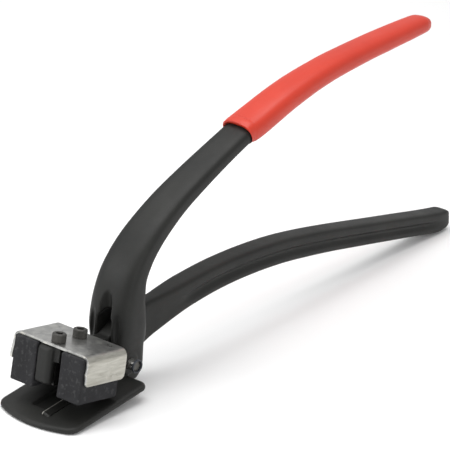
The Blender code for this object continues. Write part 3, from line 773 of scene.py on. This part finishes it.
def vinyl_grip(mat):
    """Dipped sleeve with a rolled, slightly uneven mouth and a rounded closed tip."""
    rows = spline(GRIP, 10)
    inner = spline(UPPER_BAR[11:], 10)
    inner = [row for row in inner if row[0] > rows[0][0]]
    inner_rings = rings_along(inner, lambda row: oval(row[2] + 0.5 * MM, row[3] + 0.5 * MM, 3.2))
    outer_rings = rings_along(rows, lambda row: oval(row[2], row[3], 2.7))
    mouth = outer_rings[0]
    start = inner_rings[0]
    along = (Vector(outer_rings[4][0]) - Vector(outer_rings[0][0])).normalized()
    lip = []
    for k in range(7):
        a = math.pi * k / 6
        ring = []
        for i, (inside, outside) in enumerate(zip(start, mouth)):
            wave = 0.35 * MM * math.sin(3 * 2 * math.pi * i / len(mouth) + 0.6)
            blend = 0.5 - 0.5 * math.cos(a)
            point = Vector(inside).lerp(Vector(outside), blend * 1.06)
            ring.append(point - along * (1.5 * MM * math.sin(a) + wave))
        lip.append(ring)
    outer_rings = outer_rings[1:]
    bm = skin(inner_rings[::-1] + lip + outer_rings)
    ob = piece("vinyl_grip", moved(bm, DRAWN), mat, FOOT_BODY)
    for vert in ob.data.vertices:
        p = vert.co * 60
        vert.co += vert.normal * (0.12 * MM * noise.noise(p))
    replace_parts(ob, "grip_sleeve")
    return ob


# ---------------------------------------------------------------- bracket and pads

def channel_point(s, low):
    """Point (y, z) of the channel's outer line; s runs 0..1 from one flange's foot to the other's."""
    flat = BRACKET_TOP - BEND - low
    bend = BEND * math.pi / 2
    top = 2 * (BRACKET_HALF - BEND)
    total = 2 * flat + 2 * bend + top
    d = min(s, 1 - s) * total
    sign = -1 if s < 0.5 else 1
    if d < flat:
        return (sign * BRACKET_HALF, low + d, sign, 0.0)
    if d < flat + bend:
        a = (d - flat) / BEND
        return (sign * (BRACKET_HALF - BEND + BEND * math.cos(a)),
                BRACKET_TOP - BEND + BEND * math.sin(a), sign * math.cos(a), math.sin(a))
    return (sign * (BRACKET_HALF - BEND - (d - flat - bend)), BRACKET_TOP, 0.0, 1.0)


def flange_foot(x):
    """Height of a flange's lower edge at x, with its rounded corners."""
    low = BRACKET_TOP - BRACKET_DROP
    for edge, radius, side in ((BRACKET_BACK, 5.0 * MM, 1), (BRACKET_FRONT, 2.4 * MM, -1)):
        into = radius - abs(edge - x)
        if into > 0 and side * (x - (BRACKET_FRONT + BRACKET_BACK) / 2) > 0:
            low += radius - math.sqrt(max(radius ** 2 - into ** 2, 0.0))
    return low


def bracket_sheet(mat):
    """Bent sheet channel: one skin outside, one inside, rims joined."""
    columns = 56
    samples = 120

    def grid(offset):
        points = []
        for i in range(columns + 1):
            v = i / columns
            v = v - 0.06 * math.sin(2 * math.pi * v)
            row = []
            for k in range(samples + 1):
                x = BRACKET_FRONT + (BRACKET_BACK - BRACKET_FRONT) * v
                y, z, ny, nz = channel_point(k / samples, flange_foot(x))
                depth = BRACKET_TOP - z
                near = 1 if y < 0 else 0
                curl = math.exp(-((z - 10.5 * MM) / (2.0 * MM)) ** 2) * (1 - v) ** 6
                x -= near * 0.7 * MM * curl
                splay = step(depth, BEND * 0.6, BRACKET_DROP)
                y += (2.3 * splay if y > 0 else -0.15 * splay) * MM
                buckle = 0.16 * MM * noise.noise(Vector((x * 45, y * 35, z * 30)))
                row.append(Vector((x, y - ny * offset + ny * buckle, z - nz * offset + nz * buckle)))
            points.append(row)
        return points

    outer = grid(0.0)
    inner = grid(SHEET)
    bm = bmesh.new()
    over = [[bm.verts.new(p) for p in row] for row in outer]
    under = [[bm.verts.new(p) for p in row] for row in inner]
    for i in range(columns):
        for k in range(samples):
            bm.faces.new((over[i][k], over[i + 1][k], over[i + 1][k + 1], over[i][k + 1]))
            bm.faces.new((under[i][k], under[i][k + 1], under[i + 1][k + 1], under[i + 1][k]))
    for k in range(samples):
        bm.faces.new((over[0][k], over[0][k + 1], under[0][k + 1], under[0][k]))
        bm.faces.new((over[-1][k], under[-1][k], under[-1][k + 1], over[-1][k + 1]))
    for i in range(columns):
        bm.faces.new((over[i][0], under[i][0], under[i + 1][0], over[i + 1][0]))
        bm.faces.new((over[i][-1], over[i + 1][-1], under[i + 1][-1], under[i][-1]))
    drill = [(15 * MM, 0), (15 * MM, SCREW_HOLE), (40 * MM, SCREW_HOLE), (40 * MM, 0)]
    drills = [moved(lathe(drill, "Z", 40), shift(x)) for x in SCREW_X]
    bm = cut(bm, *drills)
    ob = piece("bracket_sheet", moved(bm, NOSE), mat, NOSE_BODY)
    edge_bevel(ob, 0.45 * MM, 3, 50)
    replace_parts(ob, "pad_bracket")
    return ob


def punch_marks(mat):
    """Two small staking marks low on each flange."""
    for side, name in ((-1, "near"), (1, "far")):
        for index, x in enumerate((-58.5 * MM, -50.5 * MM), 1):
            y = side * (BRACKET_HALF + (1.6 * MM if side > 0 else 0.1 * MM))
            profile = [(-0.25 * MM, 0), (-0.25 * MM, 1.0 * MM), (0.05 * MM, 1.15 * MM),
                       (0.14 * MM, 0.8 * MM), (0.14 * MM, 0)]
            bm = moved(lathe(profile, "Y", 24), Matrix.Scale(side, 4, (0, 1, 0)))
            bm = moved(bm, shift(x, y, 4.6 * MM))
            piece(f"stake_mark_{name}_{index}", moved(bm, NOSE), mat, NOSE_BODY)


def rubber_pad(name, node, side, mat):
    """Moulded rubber block with rounded edges and slightly hollow faces."""
    low = Vector(PAD_LOW)
    high = Vector(PAD_HIGH)
    radius = PAD_EDGE
    counts = (40, 26, 36)
    bm = bmesh.new()
    bmesh.ops.create_cube(bm, size=1.0)
    for axis, count in enumerate(counts):
        edges = [e for e in bm.edges
                 if abs((e.verts[0].co - e.verts[1].co).normalized()[axis]) > 0.99]
        bmesh.ops.subdivide_edges(bm, edges=edges, cuts=count, use_grid_fill=True)
    centre = (low + high) / 2
    size = high - low
    for vert in bm.verts:
        unit = Vector(0.5 * math.sin(math.pi * c * 0.92) / math.sin(math.pi * 0.46) for c in vert.co)
        p = centre + Vector(u * s for u, s in zip(unit, size))
        core = Vector(min(max(c, a + radius), b - radius) for c, a, b in zip(p, low, high))
        away = p - core
        if away.length > 0:
            p = core + away.normalized() * radius
        wobble = noise.noise(p * 70) * 0.22 * MM + noise.noise(p * 260) * 0.08 * MM
        p += away.normalized() * wobble if away.length > 0 else Vector()
        p.x += 0.5 * MM * max(0.0, 1 - (p.x - low.x) / (2 * MM)) * (1 - (2 * (p.z - centre.z) / size.z) ** 2)
        vert.co = Vector((p.x, side * p.y, p.z))
    ob = piece(name, moved(bm, NOSE), mat, NOSE_BODY)
    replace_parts(ob, node)
    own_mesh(ob)
    return ob


# ---------------------------------------------------------------- fasteners

def cap_screw(index, x, mat):
    """Socket-head cap screw with a knurled side."""
    seat = BRACKET_TOP + 0.1 * MM
    profile = [(11.2 * MM, 0), (11.2 * MM, 4 * MM), (seat, 4 * MM), (seat, 6.2 * MM),
               (seat + 0.3 * MM, 6.5 * MM), (seat + 7.0 * MM, 6.5 * MM), (seat + 7.6 * MM, 6.2 * MM),
               (seat + 8.0 * MM, 5.5 * MM), (seat + 8.0 * MM, 0)]
    bm = lathe(profile, "Z", 144)
    for vert in bm.verts:
        along = vert.co.z - seat
        if 0.2 * MM < along < 7.2 * MM and vert.co.xy.length > 6 * MM:
            turn = math.atan2(vert.co.y, vert.co.x)
            scale = 1 - 0.016 * (0.5 + 0.5 * math.cos(48 * turn))
            vert.co.x *= scale
            vert.co.y *= scale
    radius = 6 * MM / math.sqrt(3)
    socket = lathe([(seat + 3.6 * MM, 0), (seat + 3.6 * MM, radius), (seat + 12 * MM, radius),
                    (seat + 12 * MM, 0)], "Z", 6)
    funnel = lathe([(seat + 7.5 * MM, 0), (seat + 7.5 * MM, 3.0 * MM), (seat + 8.2 * MM, 3.8 * MM),
                    (seat + 8.2 * MM, 0)], "Z", 48)
    bm = cut(bm, socket, funnel)
    ob = piece(f"cap_screw_{index}", moved(moved(bm, shift(x)), NOSE), mat, NOSE_BODY,
               smooth=False)
    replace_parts(ob, f"bracket_screw_{index}")
    return ob


def locknut(mat):
    """M10 locknut: chamfered hexagon with a rolled crown.

    Known fault: the last cut keeps only the plug inside the bore, so the nut itself doesn't show.
    """
    out = -BOSS_HALF
    hexagon = lathe([(out - 7.6 * MM, 0), (out - 7.6 * MM, HEX_CORNER), (out - 0.1 * MM, HEX_CORNER),
                     (out - 0.1 * MM, 0)], "Y", 6)
    cone = lathe([(out - 7.6 * MM, 0), (out - 7.6 * MM, 7.7 * MM), (out - 6.6 * MM, 9.4 * MM),
                  (out - 0.8 * MM, 9.4 * MM), (out - 0.1 * MM, 8.0 * MM), (out - 0.1 * MM, 0)], "Y", 72)
    crown = [(out - 6.8 * MM, 0), (out - 6.8 * MM, 7.55 * MM)]
    crown += [(out - 8.7 * MM - 1.15 * MM * math.sin(a), 6.4 * MM + 1.15 * MM * math.cos(a))
              for a in (math.pi * k / 10 for k in range(11))]
    crown += [(out - 8.3 * MM, NUT_BORE), (out - 8.3 * MM, 0)]
    bm = combined(hexagon, ("INTERSECT", cone), ("UNION", lathe(crown, "Y", 72)))
    bore = lathe([(-40 * MM, 0), (-40 * MM, NUT_BORE), (0, NUT_BORE), (0, 0)], "Y", 60)
    bm = cut(bm, bore)
    nut = piece("locknut", moved(bm, Matrix.Translation(PIVOT) @ Matrix.Rotation(0.35, 4, "Y")), mat,
                FOOT_BODY, smooth=False)
    edge_bevel(nut, 0.18 * MM, 2, 28)
    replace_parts(nut, "pivot_nut")
    return nut


def pivot_bolt(mat):
    """M10 bolt: threaded end in the nut, plain shank, chamfered hexagon head."""
    profile = [(BOLT_END, 0), (BOLT_END, 3.9 * MM), (BOLT_END + 0.8 * MM, 4.8 * MM)]
    y = BOLT_END + 0.9 * MM
    while y < -12 * MM:
        profile += [(y, 4.35 * MM), (y + 0.35 * MM, 4.95 * MM), (y + 0.6 * MM, 4.95 * MM)]
        y += 1.0 * MM
    head = BOSS_HALF + 2.1 * MM
    top = head + 6.3 * MM
    profile += [(-11.5 * MM, 5 * MM), (head, 5 * MM), (head, 7.8 * MM), (head + 0.3 * MM, 8.0 * MM)]
    profile += [(head + 0.3 * MM, 0)]
    hexagon = lathe([(head + 0.25 * MM, 0), (head + 0.25 * MM, HEX_CORNER), (top, HEX_CORNER),
                     (top, 0)], "Y", 6)
    cone = lathe([(head, 0), (head, 9.4 * MM), (top - 1.1 * MM, 9.4 * MM), (top, 7.4 * MM),
                  (top, 0)], "Y", 72)
    bm = combined(hexagon, ("INTERSECT", cone), ("UNION", lathe(profile, "Y", 60)))
    bolt = piece("hex_bolt", moved(bm, Matrix.Translation(PIVOT)), mat, FOOT_BODY,
                 smooth=False)
    edge_bevel(bolt, 0.15 * MM, 2, 28)
    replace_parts(bolt, "pivot_bolt")
    return bolt


def lower_blade(mat):
    """Insert whose near side rolls down into the foot and whose shear edge stands proud."""
    section = [(-11.1, -13.2), (-3.1, -13.2), (-3.1, -8.9), (-3.35, -8.6), (-4.2, -8.6), (-6.2, -9.3),
               (-9.0, -10.0), (-11.1, -10.1)]
    rings = []
    for x, drop in ((-97.0, 1.4), (-96.2, 0.5), (-95.0, 0.0), (-40.0, 0.0)):
        rings.append([(x * MM, y * MM, (z - (drop if z > -12 else 0)) * MM) for y, z in section])
    ob = piece("shear_insert", moved(skin(rings), FOOT), mat, FOOT_BODY, smooth=False)
    edge_bevel(ob, 0.25 * MM, 3, 25)
    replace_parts(ob, "lower_blade")
    return ob


def dress(node, mat, width):
    """Keep a CAD node's shape: new material and softened edges."""
    ob = frame["nodes"][node]
    ob.data.materials.clear()
    ob.data.materials.append(mat)
    if width:
        edge_bevel(ob, width, 2, 35)


# ---------------------------------------------------------------- studio

def studio():
    """Pale floor, soft boxes and an even bright surround."""
    half = 4.0
    bm = block(-half, half, -half, half, -0.012, -0.0006)
    floor = piece("studio_floor", bm, floor_material(), None, smooth=False)

    world = bpy.data.worlds.new("surround")
    world.use_nodes = True
    bpy.context.scene.world = world
    background = world.node_tree.nodes["Background"]
    background.inputs["Color"].default_value = (1.0, 1.0, 1.0, 1.0)
    background.inputs["Strength"].default_value = 0.62

    middle = Vector((0.0, 0.0, 0.08))
    for name, place, size, power in (
        ("top_box", (-0.1, 0.2, 1.5), 1.4, 17.0),
        ("left_box", (-1.3, 0.9, 0.9), 0.9, 9.0),
        ("front_box", (-0.6, -1.6, 0.8), 0.9, 4.5),
    ):
        data = bpy.data.lights.new(name, "AREA")
        data.shape = "SQUARE"
        data.size = size
        data.energy = power
        lamp = bpy.data.objects.new(name, data)
        lamp.location = place
        lamp.rotation_euler = (middle - Vector(place)).to_track_quat("-Z", "Y").to_euler()
        bpy.context.scene.collection.objects.link(lamp)


def camera():
    """Long lens from the jaw end, on the locknut's side, a little above."""
    azimuth = math.radians(-140.29)
    elevation = math.radians(23.20)
    roll = math.radians(1.42)
    distance = 3.0
    aim = PIVOT + Vector((0.09875, -0.0449, 0.1103))
    toward = Vector((math.cos(azimuth) * math.cos(elevation), math.sin(azimuth) * math.cos(elevation),
                     math.sin(elevation)))
    data = bpy.data.cameras.new("photo_camera")
    data.lens = 268.8
    data.sensor_width = 36.0
    data.clip_end = 20.0
    ob = bpy.data.objects.new("photo_camera", data)
    facing = (-toward).to_track_quat("-Z", "Y").to_matrix().to_4x4()
    ob.matrix_world = Matrix.Translation(aim + toward * distance) @ facing @ Matrix.Rotation(roll, 4, "Z")
    bpy.context.scene.collection.objects.link(ob)
    bpy.context.scene.camera = ob


def main():
    black = forged_black()
    zinc = zinc_sheet()
    bright = zinc_bright()
    oxide = black_oxide()
    steel = blade_steel_painted_dark()
    pad = rubber()
    bearing = bronze()

    camera()
    studio()
    bpy.context.scene.view_settings.view_transform = "Standard"

    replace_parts(upper_forging(black), "upper_handle_with_foot")
    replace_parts(lower_forging(black), "lower_handle_with_nose")
    vinyl_grip(red_vinyl())
    bracket_sheet(zinc)
    punch_marks(zinc)
    rubber_pad("rubber_pad_near", "pad_near", -1, pad)
    rubber_pad("rubber_pad_far", "pad_far", 1, pad)
    for index, x in enumerate(SCREW_X, 1):
        cap_screw(index, x, oxide)
    locknut(bright)
    pivot_bolt(oxide)
    dress("nut_nylon_ring", nylon(), 0.1 * MM)
    dress("bolt_washer", bright, 0.2 * MM)
    for name in ("pivot_bushing", "thrust_washer_near", "thrust_washer_far"):
        dress(name, bearing, 0.15 * MM)
    dress("upper_blade", steel, 0.2 * MM)
    lower_blade(shear_steel_wear_and_highlight())
    for index in (1, 2):
        dress(f"upper_blade_screw_{index}", oxide, 0.15 * MM)
        dress(f"lower_blade_screw_{index}", oxide, 0.1 * MM)


main()
